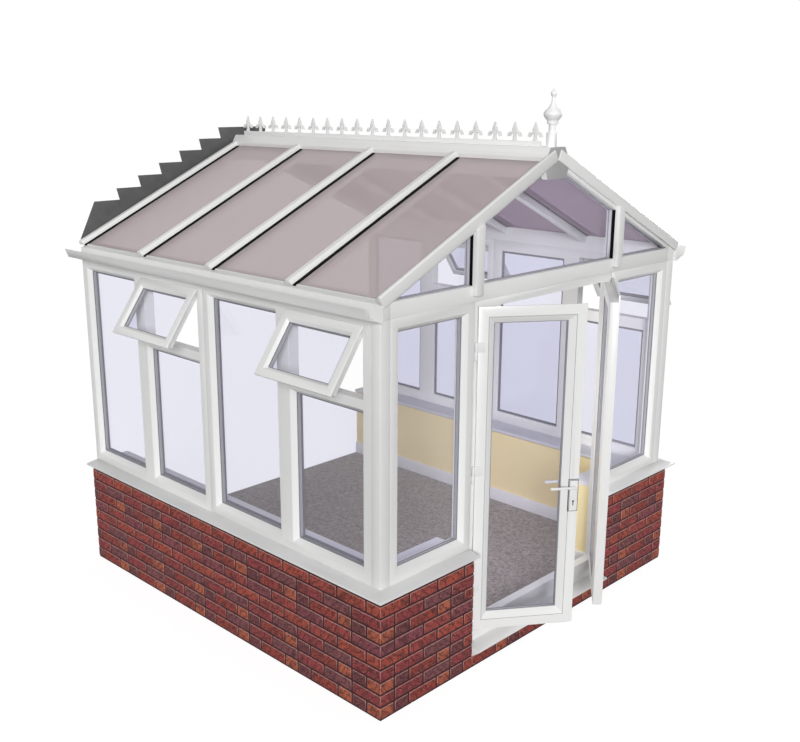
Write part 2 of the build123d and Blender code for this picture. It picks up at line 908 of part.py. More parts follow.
side_cill, front_cill = wall_cills()
write("right_cill", side_cill)
write("left_cill", mirrored(side_cill))
write("front_cills", front_cill, mirrored(front_cill))
write("door_cill", door_cill())

post = corner_post()
write("corner_posts", post, mirrored(post))
side_glass = []
sashes = []
sash_panes = []
for name, (frame, panes, sash, sash_glass) in zip(("front", "rear"), side_windows()):
    write(f"right_{name}_window_frame", frame)
    write(f"left_{name}_window_frame", mirrored(frame))
    side_glass += panes
    sashes.append(sash)
    sash_panes.append(sash_glass)
write("right_window_glass", *side_glass)
write("left_window_glass", *[mirrored(glass) for glass in side_glass])
write("fanlight_sashes", *sashes, *[mirrored(sash) for sash in sashes])
write("fanlight_glass", *sash_panes, *[mirrored(glass) for glass in sash_panes])
frame, glass = front_window()
write("front_window_frames", frame, mirrored(frame))
write("front_window_glass", glass, mirrored(glass))

write("door_frame", door_frame())
leaf, leaf_glass = door_leaf()
write("right_door_leaf", swung(leaf + meeting_post()))
write("right_door_glass", swung(leaf_glass))
write("left_door_leaf", mirrored(swung(leaf - spindle_bore())))
write("left_door_glass", mirrored(swung(leaf_glass)))
jamb_halves = fixed_hinges()
leaf_halves = leaf_hinges()
write("jamb_hinges", *jamb_halves, *[mirrored(half) for half in jamb_halves])
write("right_door_hinges", *leaf_halves)
write("left_door_hinges", *[mirrored(half) for half in leaf_halves])
write("lock_plates", *[mirrored(swung(plate)) for plate in lock_plates()])
write("lever_handle", mirrored(swung(lever_handle())))

beam = eaves_beam()
channel = gutter()
write("eaves_beams", beam, mirrored(beam))
write("right_gutter", channel)
write("left_gutter", mirrored(channel))
write("front_beam", front_beam())
bars = [roof_bar(y) for y in bar_places()]
roof_glass = roof_panes()
write("right_roof_bars", *bars)
write("left_roof_bars", *[mirrored(bar) for bar in bars])
write("right_roof_glass", *roof_glass)
write("left_roof_glass", *[mirrored(glass) for glass in roof_glass])
rafter = gable_rafter()
rafters = (rafter, mirrored(rafter))
write("right_gable_rafter", rafters[0])
write("left_gable_rafter", rafters[1])
gable_side_bar = gable_bar()
write("gable_bars", gable_side_bar, mirrored(gable_side_bar))
triangle, crown = gable_panes()
write("gable_glass", triangle, crown, mirrored(triangle))
write("ridge", ridge(rafters))
write("ridge_end", ridge_end(rafters))
write("ridge_cresting", ridge_cresting())
write("finial", finial())
write("step_flashing", step_flashing())
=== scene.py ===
"""Looks of a conservatory on dwarf brick walls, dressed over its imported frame.

Lengths are in metres, in the frame's own axes: +X right, +Y towards the house, +Z up.
"""
from math import cos, radians, sin, tan
from random import Random

import bpy
import numpy as np
from mathutils import Matrix, Vector


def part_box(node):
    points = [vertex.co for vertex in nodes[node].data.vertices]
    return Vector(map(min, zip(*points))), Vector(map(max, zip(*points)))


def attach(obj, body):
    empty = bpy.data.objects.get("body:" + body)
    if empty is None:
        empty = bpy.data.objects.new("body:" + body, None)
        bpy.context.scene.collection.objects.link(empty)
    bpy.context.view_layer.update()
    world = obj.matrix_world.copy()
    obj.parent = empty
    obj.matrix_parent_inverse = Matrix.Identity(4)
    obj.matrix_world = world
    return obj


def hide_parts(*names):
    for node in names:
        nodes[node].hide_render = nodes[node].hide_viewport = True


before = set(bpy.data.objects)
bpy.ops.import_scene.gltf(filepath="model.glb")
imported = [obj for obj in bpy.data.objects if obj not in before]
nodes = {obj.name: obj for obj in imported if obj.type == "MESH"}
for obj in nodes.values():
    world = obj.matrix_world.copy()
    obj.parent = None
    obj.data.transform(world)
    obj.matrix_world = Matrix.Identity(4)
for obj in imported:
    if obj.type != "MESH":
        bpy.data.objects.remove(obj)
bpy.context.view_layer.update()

# Brickwork: facing bricks laid in mixed bond, a course every 74 mm, with dark joints set back a little
BRICK_LONG = 0.2122
BRICK_TALL = 0.0622
BRICK_DEEP = 0.1025
JOINT = 0.0115
JOINT_RECESS = 0.0025
ARRIS = 0.002
# Width over which the pale top arris, wear and painted highlight, fades into the face
ARRIS_FADE = 0.003
SHORTEST_CUT = 0.05
BRICK_SHIFT = 0.0012
COURSES = 9
HALF_BAT = (BRICK_LONG - JOINT) / 2
GAUGE = BRICK_TALL + JOINT
SQUARE_ON = 0.99
BRICK_SEED = 7

# Roof
PITCH = radians(25)
GLASS_THICK = 0.024

# Seals round the glass
GLASS_BITE = 0.008
SEAL_WIDE = 0.003
# Width of the room-side seal, widened as a band of painted shade
INNER_SHADE_SEAL_WIDE = 0.017
SEAL_PROUD = 0.0015
SHEET_THICK = 0.004
SPACER_SIGHT = 0.002
PANE_AREA = 0.05

# Trims on the roof and gable
STRIP_WIDE = 0.021
STRIP_TALL = 0.007
INNER_WIDE = 0.009
INNER_TALL = 0.004
INNER_FROM = 0.03
BAR_RISE = 1.40
BAR_OVERHANG = 0.012
EAVES_TRIM = 0.006
TRIM_WALL = 0.003
TRIM_EDGE = 0.0008
PAD_THICK = 0.005
GABLE_WEB = 0.03
RAFTER_DROP = 0.054

# Door leaves, given as the right-hand leaf stands when shut: along X and Z, or across in Y
HINGE = Vector((0.6538, -1.390, 0))
LEAF_OPEN = radians(36)
LEAF_FACE = -1.390
LEAF_BACK = -1.330
LEAF_LIGHT = (Vector((0.101, 0.285)), Vector((0.5863, 2.057)))
GASKET_WIDE = 0.0025
GASKET_PROUD = 0.0004
GASKET_EDGE = 0.0001
HANDLE_X = 0.0735
# Rim under the lock plate: partly gasket, partly painted shade in the gap
RIM_HALF = 0.03
RIM_LOW = 0.921
RIM_HIGH = 1.115
RIM_THICK = 0.0015
# Black keyway, painted as the shade in the keyhole
KEYWAY_HALF = 0.008
KEYWAY_LOW = 0.956
KEYWAY_HIGH = 0.992
KEYWAY_OUT = 0.0045
KEYWAY_THICK = 0.001
PLATE_THICK = 0.009
# Black line round the face of the lock plate, painted as the shade of its outline
SHADE_LINE_HALF = 0.0258
SHADE_LINE_LOW = 0.9252
SHADE_LINE_HIGH = 1.1108
SHADE_LINE_WIDE = 0.0025

# Softened edges
FRAME_EDGE = 0.0018
GUTTER_EDGE = 0.0006
CREST_EDGE = 0.001
RIDGE_END_EDGE = 0.0008
BOARD_EDGE = 0.006
SKIRTING_EDGE = 0.004
LEAD_EDGE = 0.001
HINGE_EDGE = 0.001
PLATE_EDGE = 0.0015
SMOOTH_ANGLE = radians(35)

# Copies of CAD meshes: points this near are one, and faces this nearly level are one
MERGE_GAP = 0.00002
LEVEL_ANGLE = radians(0.5)

# Studio
FLOOR_SIZE = 60
ROOM_LAMP_WATTS = 30
ROOM_LAMP_RADIUS = 0.35
ROOM_LAMP_PLACE = (-0.05, -0.75, 1.35)
CAMERA_PLACE = (-4.7466, -4.7497, 3.1809)
CAMERA_TURN = radians(45)
CAMERA_DOWN = radians(15)


# Modelling


def pick(*objects):
    """Select only these, with the first one active."""
    bpy.ops.object.select_all(action="DESELECT")
    for item in objects:
        item.select_set(True)
    bpy.context.view_layer.objects.active = objects[0]


def edit(item, select="SELECT"):
    """Open one object in edit mode with all or none of it selected."""
    pick(item)
    bpy.ops.object.mode_set(mode="EDIT")
    bpy.ops.mesh.select_mode(type="FACE")
    bpy.ops.mesh.select_all(action=select)


def close_edit():
    """Go back to object mode."""
    bpy.ops.object.mode_set(mode="OBJECT")


def joined(pieces):
    """Several objects joined into the first."""
    pick(*pieces)
    if len(pieces) > 1:
        bpy.ops.object.join()
    return bpy.context.view_layer.objects.active


def block(low, high, edge, segments=1):
    """A block between two corners, its edges eased."""
    bpy.ops.object.select_all(action="DESELECT")
    centre = [(a + b) / 2 for a, b in zip(low, high)]
    size = [b - a for a, b in zip(low, high)]
    bpy.ops.mesh.primitive_cube_add(size=1, location=centre, scale=size)
    item = bpy.context.object
    bpy.ops.object.transform_apply(location=True, rotation=True, scale=True)
    edit(item)
    bpy.ops.mesh.bevel(offset=edge, segments=segments, affect="EDGES")
    close_edit()
    return item


def copy_of(node):
    """A copy of a CAD node's mesh, its loose triangles merged and its flat faces made whole."""
    item = nodes[node].copy()
    item.data = nodes[node].data.copy()
    item.parent = None
    item.hide_render = False
    item.hide_viewport = False
    for key in list(item.keys()):
        del item[key]
    bpy.context.scene.collection.objects.link(item)
    edit(item)
    bpy.ops.mesh.remove_doubles(threshold=MERGE_GAP)
    bpy.ops.mesh.dissolve_limited(angle_limit=LEVEL_ANGLE, delimit=set())
    close_edit()
    return item


def thickened(item, thickness, offset):
    """Give a sheet its thickness, all to one side of it."""
    wall = item.modifiers.new("wall", "SOLIDIFY")
    wall.thickness = thickness
    wall.offset = offset
    pick(item)
    bpy.ops.object.modifier_apply(modifier=wall.name)
    return item


def placed(item, move):
    """Move a piece's mesh to its place and point its faces outwards again."""
    item.data.transform(move)
    edit(item)
    bpy.ops.mesh.normals_make_consistent(inside=False)
    close_edit()
    return item


def finished(item, name, body, slot, *materials, stands_for=()):
    """Name a piece, give it its materials and set it on its body."""
    item.name = name
    item.data.name = name
    item.data.materials.clear()
    for material in materials:
        item.data.materials.append(material)
    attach(item, body)
    if stands_for:
        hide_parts(*stands_for)


def boxes_of(node):
    """The corners of each solid in a CAD node."""
    edit(copy_of(node))
    bpy.ops.mesh.separate(type="LOOSE")
    close_edit()
    found = list(bpy.context.selected_objects)
    corners = []
    for part in found:
        points = np.array([v.co for v in part.data.vertices])
        corners.append((Vector(points.min(0)), Vector(points.max(0))))
        bpy.data.objects.remove(part)
    return sorted(corners, key=lambda pair: tuple(pair[0]))


# Materials


def paint(code):
    """An sRGB hex colour as linear RGBA."""
    channels = [int(code[place:place + 2], 16) / 255 for place in (1, 3, 5)]
    return [c / 12.92 if c <= 0.04045 else ((c + 0.055) / 1.055) ** 2.4 for c in channels] + [1]


def add(tree, kind, values=None, links=None, **settings):
    """One node, with its settings, the values of its sockets and what feeds them."""
    node = tree.nodes.new(kind)
    for name, value in settings.items():
        setattr(node, name, value)
    for socket, value in (values or {}).items():
        node.inputs[socket].default_value = value
    for socket, source in (links or {}).items():
        tree.links.new(source, node.inputs[socket])
    return node


def started(name, **values):
    """A new material with its node tree, its Principled shader and the object's own coordinates."""
    material = bpy.data.materials.new(name)
    material.use_nodes = True
    tree = material.node_tree
    shader = tree.nodes["Principled BSDF"]
    for socket, value in values.items():
        shader.inputs[socket.replace("_", " ")].default_value = value
    place = add(tree, "ShaderNodeTexCoord").outputs["Object"]
    return material, tree, shader, place


MM = 0.001


def per(millimetres):
    """The scale of a pattern that repeats about every so many millimetres."""
    return 1 / (millimetres * MM)


def mottled(name, dark, light, grain_mm, bump_mm, bump_strength, fine_mm, **values):
    """A material whose colour drifts between two shades, with a fine relief."""
    material, tree, shader, place = started(name, **values)
    drift = add(tree, "ShaderNodeTexNoise", {"Scale": per(grain_mm), "Detail": 4.0}, {"Vector": place})
    shade = add(tree, "ShaderNodeMix", {"A": paint(dark), "B": paint(light)},
                {"Factor": drift.outputs["Fac"]}, data_type="RGBA")
    tree.links.new(shade.outputs["Result"], shader.inputs["Base Color"])
    relief = add(tree, "ShaderNodeTexNoise", {"Scale": per(fine_mm), "Detail": 3.0}, {"Vector": place})
    bump = add(tree, "ShaderNodeBump", {"Strength": bump_strength, "Distance": bump_mm * MM},
               {"Height": relief.outputs["Fac"]})
    tree.links.new(bump.outputs["Normal"], shader.inputs["Normal"])
    return material


# Firings of the facing bricks, from the two half bats to the stretchers
FIRINGS = {
    "orange": "#AF5B41",
    "purple": "#5C2B36",
    "dark_red": "#8C342D",
    "maroon": "#8A333A",
    "grey_purple": "#70414A",
    "orange_red": "#A44537",
    "light_red": "#9B403B",
    "mixed": "#7A3C4A",
    "red_maroon": "#943C3A",
}
FIRING_ORDER = list(FIRINGS)


def brick_material():
    """Wire-cut facing brick: sanded fired clay with mould creases, shade painted dark into the creases, and
    its top arrises painted pale, partly as wear and partly as a highlight.
    """
    material, tree, shader, place = started("fired_clay_facing_brick", Roughness=0.88)
    firing = add(tree, "ShaderNodeAttribute", attribute_name="firing")
    ramp = add(tree, "ShaderNodeValToRGB", links={"Fac": firing.outputs["Fac"]})
    ramp.color_ramp.interpolation = "CONSTANT"
    stops = ramp.color_ramp.elements
    while len(stops) < len(FIRING_ORDER):
        stops.new(1.0)
    for place_in_ramp, name in enumerate(FIRING_ORDER):
        stops[place_in_ramp].position = place_in_ramp / len(FIRING_ORDER)
        stops[place_in_ramp].color = paint(FIRINGS[name])
    # Kiln marks: dark smoky patches about 60 mm across
    smoke = add(tree, "ShaderNodeTexNoise", {"Scale": per(60), "Detail": 5.0, "Roughness": 0.65},
                {"Vector": place})
    smoke_range = add(tree, "ShaderNodeMapRange",
                      {"From Min": 0.42, "From Max": 0.72, "To Min": 0.0, "To Max": 0.85},
                      {"Value": smoke.outputs["Fac"]})
    smoked = add(tree, "ShaderNodeMix", {"B": paint("#35161F")},
                 {"Factor": smoke_range.outputs["Result"], "A": ramp.outputs["Color"]}, data_type="RGBA")
    # Sand facing: finer than a millimetre, drawn as 7 mm grit so that it shows
    grit = add(tree, "ShaderNodeTexNoise", {"Scale": per(7), "Detail": 3.0, "Roughness": 0.7},
               {"Vector": place})
    grit_range = add(tree, "ShaderNodeMapRange",
                     {"From Min": 0.5, "From Max": 0.8, "To Min": 0.0, "To Max": 0.75},
                     {"Value": grit.outputs["Fac"]})
    sanded = add(tree, "ShaderNodeMix", {"B": paint("#DA866A")},
                 {"Factor": grit_range.outputs["Result"], "A": smoked.outputs["Result"]}, data_type="RGBA")
    # Creases from the mould: wavy folds about 90 mm apart, painted dark in their hollows as shade
    crease = add(tree, "ShaderNodeTexWave",
                 {"Scale": per(90), "Distortion": 9.0, "Detail": 3.0, "Detail Scale": 1.6},
                 {"Vector": place}, bands_direction="DIAGONAL")
    crease_range = add(tree, "ShaderNodeMapRange",
                       {"From Min": 0.0, "From Max": 0.22, "To Min": 0.75, "To Max": 0.0},
                       {"Value": crease.outputs["Fac"]})
    # Painted shade: the low parts of the creases darkened
    crease_shaded = add(tree, "ShaderNodeMix", {"B": paint("#3A161B")},
                  {"Factor": crease_range.outputs["Result"], "A": sanded.outputs["Result"]}, data_type="RGBA")
    # Top arrises painted pale, more where the grit is coarse: partly rubbed wear, partly a painted highlight
    arris_wear_and_highlight = add(tree, "ShaderNodeAttribute", attribute_name="arris_wear_and_highlight")
    wear_and_highlight = add(tree, "ShaderNodeMath", links={0: arris_wear_and_highlight.outputs["Fac"], 1: grit.outputs["Fac"]},
               operation="MULTIPLY")
    arris_painted_pale = add(tree, "ShaderNodeMix", {"B": paint("#DDB2A6")},
                {"Factor": wear_and_highlight.outputs["Value"], "A": crease_shaded.outputs["Result"]}, data_type="RGBA")
    tree.links.new(arris_painted_pale.outputs["Result"], shader.inputs["Base Color"])
    height = add(tree, "ShaderNodeMath", links={0: grit.outputs["Fac"], 1: crease.outputs["Fac"]},
                 operation="ADD")
    bump = add(tree, "ShaderNodeBump", {"Strength": 0.8, "Distance": 4 * MM},
               {"Height": height.outputs["Value"]})
    tree.links.new(bump.outputs["Normal"], shader.inputs["Normal"])
    return material


def glass_material(name, tint, film, film_share, shine_share, shaded_film_below=None):
    """Float glass: what is behind shows through its tint, with a clear reflection that grows at a glance.

    The film of a coated sheet may take another, darker colour from below: partly the coat's own other face,
    partly painted shade.
    """
    material = bpy.data.materials.new(name)
    material.use_nodes = True
    tree = material.node_tree
    tree.nodes.remove(tree.nodes["Principled BSDF"])
    clear = add(tree, "ShaderNodeBsdfTransparent", {"Color": paint(tint)})
    body = add(tree, "ShaderNodeBsdfDiffuse", {"Color": paint(film)})
    # Painted shade: the side seen from below takes the darker film
    if shaded_film_below:
        facing = add(tree, "ShaderNodeNewGeometry").outputs["Normal"]
        height = add(tree, "ShaderNodeSeparateXYZ", links={"Vector": facing})
        below = add(tree, "ShaderNodeMath", {1: 0.0}, {0: height.outputs["Z"]}, operation="LESS_THAN")
        coat = add(tree, "ShaderNodeMix", {"A": paint(film), "B": paint(shaded_film_below)},
                   {"Factor": below.outputs["Value"]}, data_type="RGBA")
        tree.links.new(coat.outputs["Result"], body.inputs["Color"])
    through = add(tree, "ShaderNodeMixShader", {"Fac": film_share},
                  {1: clear.outputs["BSDF"], 2: body.outputs["BSDF"]})
    shine = add(tree, "ShaderNodeBsdfGlossy", {"Color": paint("#FFFFFF"), "Roughness": 0.02})
    glance = add(tree, "ShaderNodeLayerWeight", {"Blend": 0.15})
    strength = add(tree, "ShaderNodeMath", {1: shine_share}, {0: glance.outputs["Facing"]},
                   operation="MULTIPLY")
    mixed = add(tree, "ShaderNodeMixShader", links={
        "Fac": strength.outputs["Value"], 1: through.outputs["Shader"], 2: shine.outputs["BSDF"]})
    # Daylight passes into the room through the glass
    path = add(tree, "ShaderNodeLightPath")
    open_way = add(tree, "ShaderNodeBsdfTransparent", {"Color": paint("#FFFFFF")})
    lit = add(tree, "ShaderNodeMixShader", links={
        "Fac": path.outputs["Is Shadow Ray"], 1: mixed.outputs["Shader"], 2: open_way.outputs["BSDF"]})
    tree.links.new(lit.outputs["Shader"], tree.nodes["Material Output"].inputs["Surface"])
    return material


def carpet_material():
    """Twist-pile carpet: tufts of about 9 mm, heathered between two greys in flecks of about 20 mm."""
    material, tree, shader, place = started("twist_pile_carpet", Roughness=1.0, Sheen_Weight=0.3)
    tuft = add(tree, "ShaderNodeTexVoronoi", {"Scale": per(9)}, {"Vector": place})
    heather = add(tree, "ShaderNodeTexNoise", {"Scale": per(20), "Detail": 3.0, "Roughness": 0.9},
                  {"Vector": place})
    ramp = add(tree, "ShaderNodeValToRGB", links={"Fac": heather.outputs["Fac"]})
    for stop, (position, code) in zip(ramp.color_ramp.elements, ((0.36, "#655E58"), (0.64, "#B0A6A2"))):
        stop.position = position
        stop.color = paint(code)
    tree.links.new(ramp.outputs["Color"], shader.inputs["Base Color"])
    bump = add(tree, "ShaderNodeBump", {"Strength": 0.5, "Distance": 5 * MM},
               {"Height": tuft.outputs["Distance"]})
    tree.links.new(bump.outputs["Normal"], shader.inputs["Normal"])
    return material


brick = brick_material()
# Cement mortar dyed dark, gritty and dry
mortar = mottled(
    "dark_sand_mortar", "#28090F", "#43181E",
    grain_mm=25, bump_mm=1.5, bump_strength=0.6, fine_mm=4, Roughness=0.95)
# Extruded uPVC: bright white and smooth, with the faintest ripple left by the die
upvc = mottled(
    "white_extruded_upvc", "#E2E2E1", "#E8E8E7",
    grain_mm=350, bump_mm=0.3, bump_strength=0.06, fine_mm=60, Roughness=0.32)
# The same plastic in a mid grey, painted as the shade on the ridge's end face
ridge_end_shade_grey = mottled(
    "grey_plastic_painted_as_shade", "#A4A4A4", "#B0B0B0",
    grain_mm=120, bump_mm=0.3, bump_strength=0.1, fine_mm=12, Roughness=0.5)
# Gloss paint over planed timber
timber_paint = mottled(
    "white_gloss_paint_on_timber", "#E8E8EC", "#F2F2F4",
    grain_mm=160, bump_mm=0.4, bump_strength=0.1, fine_mm=30, Roughness=0.35)
# Pale grey laminate on the window boards
board_laminate = mottled(
    "pale_grey_board_laminate", "#CFCFD8", "#DBDBE2",
    grain_mm=200, bump_mm=0.3, bump_strength=0.06, fine_mm=40, Roughness=0.4)
# Emulsion on skimmed plaster, with the stipple of a roller
plaster = mottled(
    "cream_emulsion_on_plaster", "#EBD9AA", "#F3E4B8",
    grain_mm=220, bump_mm=0.8, bump_strength=0.25, fine_mm=5, Roughness=0.85)
# Tamped concrete
concrete = mottled(
    "tamped_concrete", "#8F8C86", "#A9A69F",
    grain_mm=90, bump_mm=1.5, bump_strength=0.4, fine_mm=12, Roughness=0.95)
# Milled sheet lead, dull and patinated
lead = mottled(
    "milled_sheet_lead", "#4B4B4C", "#626263",
    grain_mm=70, bump_mm=0.8, bump_strength=0.3, fine_mm=30, Roughness=0.6, Metallic=0.35)
# EPDM rubber, matt black; also the black lines and keyways on the lock, painted as shade
black_rubber_and_shade = mottled(
    "black_epdm_rubber_and_painted_shade", "#060607", "#101011",
    grain_mm=40, bump_mm=0.3, bump_strength=0.2, fine_mm=4, Roughness=0.92, Specular_IOR_Level=0.1)
# Grey co-extruded seal, its grey partly the seal's own and partly painted shade at the edges of the glass
grey_seal_and_shade = mottled(
    "grey_seal_with_painted_shade", "#808088", "#909098",
    grain_mm=40, bump_mm=0.3, bump_strength=0.2, fine_mm=4, Roughness=0.65)
# The same seal in slate on the room side, widened and darkened as painted shade for the reveals seen through
# the glass
slate_shade_seal = mottled(
    "slate_seal_painted_as_shade", "#74747C", "#84848C",
    grain_mm=40, bump_mm=0.3, bump_strength=0.2, fine_mm=4, Roughness=0.7)
# Anodised spacer bar of a sealed glass unit, matt silver
spacer_metal = mottled(
    "matt_anodised_spacer", "#A2A2A4", "#AEAEB0",
    grain_mm=60, bump_mm=0.3, bump_strength=0.15, fine_mm=6, Roughness=0.6)
# Powder-coated zinc and steel
coated_metal = mottled(
    "white_powder_coat", "#DEDEDE", "#E8E8E8",
    grain_mm=60, bump_mm=0.3, bump_strength=0.2, fine_mm=2, Roughness=0.38)
# White plastic moulded for the finial, painted a little brighter than the extrusions as the stronger light on
# it
finial_white_lit = mottled(
    "white_plastic_brightened_as_light", "#F3F3F3", "#F8F8F8",
    grain_mm=90, bump_mm=0.3, bump_strength=0.08, fine_mm=10, Roughness=0.4)
carpet_pile = carpet_material()
# Clear float glass, with hardly a film of dust
clear_glass = glass_material(
    "clear_float_glass", tint="#F2F2F8", film="#E0E0F0", film_share=0.01, shine_share=0.3)
# Roof glass with a bronze solar coat, darker mauve from below: partly the coat's other face, partly painted
# shade
tinted_glass = glass_material(
    "bronze_tinted_glass", tint="#F8F4F6", film="#C9BDBE", film_share=0.64, shine_share=0.08,
    shaded_film_below="#9C8199")


# Brickwork


def brick_master():
    """One facing brick: eased arrises, and an inset on each face so that its top edges can be painted pale,
    partly as wear and partly as a highlight.
    """
    corner = Vector((BRICK_LONG, BRICK_DEEP, BRICK_TALL)) / 2
    item = block(-corner, corner, ARRIS)
    edit(item, "DESELECT")
    close_edit()
    for face in item.data.polygons:
        face.select = max(abs(c) for c in face.normal) > SQUARE_ON
    bpy.ops.object.mode_set(mode="EDIT")
    bpy.ops.mesh.inset(thickness=ARRIS_FADE, use_individual=True)
    close_edit()
    inner = {index for face in item.data.polygons if face.select for index in face.vertices}
    # Only the top arrises are marked pale: partly their wear, partly a painted highlight where light falls
    # from above
    values = [float(point.index not in inner and point.co.z > 0) for point in item.data.vertices]
    arris_wear_and_highlight = item.data.attributes.new("arris_wear_and_highlight", "FLOAT", "POINT")
    arris_wear_and_highlight.data.foreach_set("value", values)
    item.data.attributes.new("firing", "FLOAT", "POINT")
    return item


def laid(master, low, high, firing, chance):
    """A copy of the brick, cut to fit between two corners and given its firing."""
    item = master.copy()
    item.data = master.data.copy()
    bpy.context.scene.collection.objects.link(item)
    count = len(item.data.vertices)
    points = np.empty(count * 3, np.float32)
    item.data.vertices.foreach_get("co", points)
    points = points.reshape(-1, 3)
    whole = np.array((BRICK_LONG, BRICK_DEEP, BRICK_TALL))
    size = np.array([b - a for a, b in zip(low, high)])
    centre = np.array([(a + b) / 2 for a, b in zip(low, high)])
    lean = np.array([chance.uniform(-BRICK_SHIFT, 0) for _ in range(3)])
    points += np.sign(points) * (size - whole + lean) / 2
    item.data.vertices.foreach_set("co", (points + centre).astype(np.float32).ravel())
    value = (FIRING_ORDER.index(firing) + 0.5) / len(FIRING_ORDER)
    item.data.attributes["firing"].data.foreach_set("value", [value] * count)
    return item


def bats(start, end, sequence):
    """Lengths of brick that fill a run, following a repeating sequence of (firing, share of a brick)."""
    runs = []
    at = start
    turn = 0
    while at < end - JOINT:
        firing, share = sequence[turn % len(sequence)]
        long = BRICK_LONG if share == 1 else HALF_BAT
        runs.append([at, min(at + long, end), firing])
        at += long + JOINT
        turn += 1
    # The last brick reaches the end, or shares the room with the one before it if it would be too short
    last_start, last_end, firing = runs[-1]
    if last_end - last_start < SHORTEST_CUT:
        runs.pop()
        middle = (runs[-1][0] + end) / 2
        runs[-1][1] = middle - JOINT / 2
        runs.append([middle + JOINT / 2, end, firing])
    else:
        runs[-1][1] = end
    return runs


# Each course from the front corner: the corner brick's firing and how it lies, along one of the two walls
# or as a half bat, then what follows along the front and along the side.
COURSE_KINDS = {
    "bats": ("orange", "bat",
             [("purple", 0.5), ("dark_red", 1), ("orange", 0.5)],
             [("purple", 0.5), ("orange", 0.5), ("dark_red", 1)]),
    "maroon": ("maroon", "side", [("maroon", 1), ("grey_purple", 1)], [("grey_purple", 1), ("maroon", 1)]),
    "bright": ("orange_red", "front",
               [("light_red", 1), ("orange_red", 1)],
               [("orange_red", 1), ("light_red", 1)]),
    "mixed": ("mixed", "side", [("mixed", 1), ("red_maroon", 1)], [("red_maroon", 1), ("mixed", 1)]),
}
THRESHOLD_COURSE = [("dark_red", 1), ("orange", 0.5), ("purple", 0.5)]
COURSE_ORDER = ["bats", "maroon", "bats", "maroon", "bright", "mixed", "bats", "maroon", "bright"]


def brickwork(side, master, chance):
    """One side wall and the front wall beside it, as bricks over a mortar core."""
    wall_low, wall_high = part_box(f"{side}_dwarf_wall")
    front_low, front_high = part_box(f"front_{side}_dwarf_wall")
    sign = 1 if side == "right" else -1
    edge = max(abs(wall_low.x), abs(wall_high.x))
    inner_edge = min(abs(wall_low.x), abs(wall_high.x))
    door_edge = min(abs(front_low.x), abs(front_high.x))
    front, back = wall_low.y, wall_high.y
    thick = edge - inner_edge
    bricks = []

    def lay(out0, out1, y0, y1, z, firing):
        """A brick by its distances in from the outer corner of the wall."""
        xs = sorted((sign * (edge - out0), sign * (edge - out1)))
        low, high = (xs[0], front + y0, z), (xs[1], front + y1, z + BRICK_TALL)
        bricks.append(laid(master, low, high, firing, chance))

    for course in range(COURSES):
        corner, kind, ahead, along = COURSE_KINDS[COURSE_ORDER[course]]
        z = JOINT + course * GAUGE
        ahead_from = {"bat": HALF_BAT, "side": BRICK_DEEP, "front": BRICK_LONG}[kind]
        along_from = {"bat": HALF_BAT, "side": BRICK_LONG, "front": BRICK_DEEP}[kind]
        lay(0, ahead_from, 0, along_from, z, corner)
        for start, end, firing in bats(ahead_from + JOINT, edge - door_edge, ahead):
            lay(start, end, 0, BRICK_DEEP, z, firing)
        runs = bats(along_from + JOINT, back - front, along)
        for start, end, firing in runs:
            lay(0, BRICK_DEEP, start, end, z, firing)
        lay(BRICK_DEEP + JOINT, thick, back - front - BRICK_DEEP, back - front, z, runs[-2][2])
    wall = joined(bricks)
    cores = []
    for low, high in ((wall_low, wall_high), (front_low, front_high)):
        inset = Vector((JOINT_RECESS, JOINT_RECESS, 0))
        cores.append(block(low + inset, high - inset, ARRIS))
    core = joined(cores)
    finished(wall, f"{side}_brickwork", "building", "brick", brick,
             stands_for=(f"{side}_dwarf_wall", f"front_{side}_dwarf_wall"))
    finished(core, f"{side}_mortar", "building", "brick", mortar)


def threshold_bricks(master, chance):
    """The single course under the door cill."""
    low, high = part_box("door_threshold_course")
    bricks = []
    for start, end, firing in bats(low.x, high.x, THRESHOLD_COURSE):
        near, far = (start, low.y, JOINT), (end, low.y + BRICK_DEEP, JOINT + BRICK_TALL)
        bricks.append(laid(master, near, far, firing, chance))
    wall = joined(bricks)
    inset = Vector((0, JOINT_RECESS, 0))
    core = block(low + inset, high - inset, ARRIS)
    finished(wall, "threshold_brickwork", "building", "brick", brick, stands_for=("door_threshold_course",))
    finished(core, "threshold_mortar", "building", "brick", mortar)


# Frames, trims and seals


def softened(node, body, slot, material, edge=FRAME_EDGE, segments=2):
    """A CAD node with its sharp edges eased, as the extruded or moulded piece has them."""
    item = copy_of(node)
    pick(item)
    if edge:
        ease = item.modifiers.new("eased_edges", "BEVEL")
        ease.width = edge
        ease.segments = segments
        ease.limit_method = "ANGLE"
        ease.angle_limit = SMOOTH_ANGLE
        ease.harden_normals = False
        bpy.ops.object.modifier_apply(modifier=ease.name)
    bpy.ops.object.shade_smooth_by_angle(angle=SMOOTH_ANGLE)
    finished(item, f"{node}_eased", body, slot, material, stands_for=(node,))


def pane_rims(node, bite, wide, way):
    """A flat rim round each pane of a glass node, set in by the bite.

    It lies on the outside (way 1), on the inside (way -1) or on both faces (way 0).
    """
    item = copy_of(node)
    edit(item, "DESELECT")
    close_edit()
    for face in item.data.polygons:
        outward = face.normal.x * face.center.x + face.normal.y * face.center.y
        face.select = face.area > PANE_AREA and outward * way >= 0
    bpy.ops.object.mode_set(mode="EDIT")
    if bite:
        bpy.ops.mesh.inset(thickness=bite, use_individual=True)
    bpy.ops.mesh.select_all(action="INVERT")
    bpy.ops.mesh.delete(type="FACE")
    bpy.ops.mesh.select_all(action="SELECT")
    bpy.ops.mesh.inset(thickness=wide, use_individual=True)
    bpy.ops.mesh.delete(type="FACE")
    close_edit()
    return item


